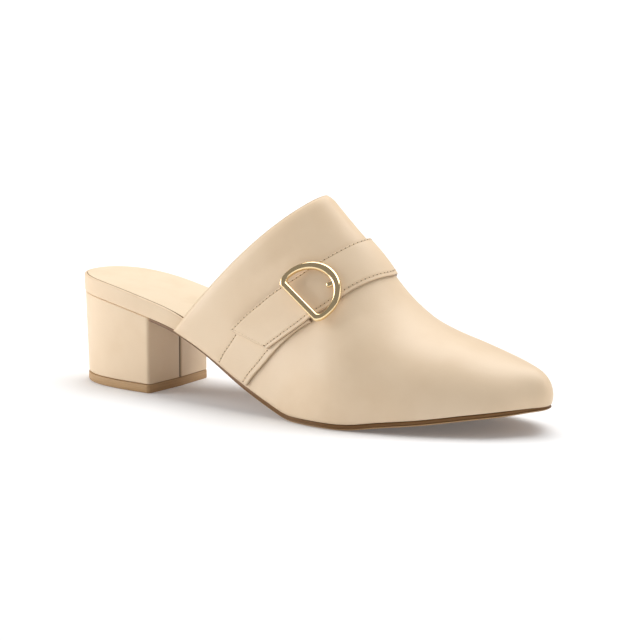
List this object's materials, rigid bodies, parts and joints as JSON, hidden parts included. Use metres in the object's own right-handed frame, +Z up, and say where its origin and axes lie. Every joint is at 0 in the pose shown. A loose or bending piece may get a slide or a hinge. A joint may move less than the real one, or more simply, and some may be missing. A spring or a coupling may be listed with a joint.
{
  "type": "block heel mule",
  "caption": "Pointed-toe backless mule for the right foot, with a leather-covered block heel and a strap with a D-shaped ring over the instep.",
  "frame": {"origin": "middle of the heel's flat tread face, on the floor", "axes": "+X towards the toe, +Y towards the foot's inner side, +Z up"},
  "size_m": [0.2664, 0.0806, 0.1048],
  "materials": {
    "outsole": "brown moulded sole with a smooth edge",
    "top_lift": "brown matt tread piece",
    "heel_leather": "smooth nude beige, satin",
    "sock": "smooth pale beige, matt",
    "upper_leather": "smooth nude beige, satin",
    "ring": "polished pale gold plating"
  },
  "bodies": {
    "root": {"outsole": "outsole", "top_lift": "top_lift", "heel_block": "heel_leather", "platform": "heel_leather", "sock": "sock", "upper": "upper_leather", "strap_tab": "upper_leather", "strap": "upper_leather", "buckle_ring": "ring"}
  },
  "joints": []
}
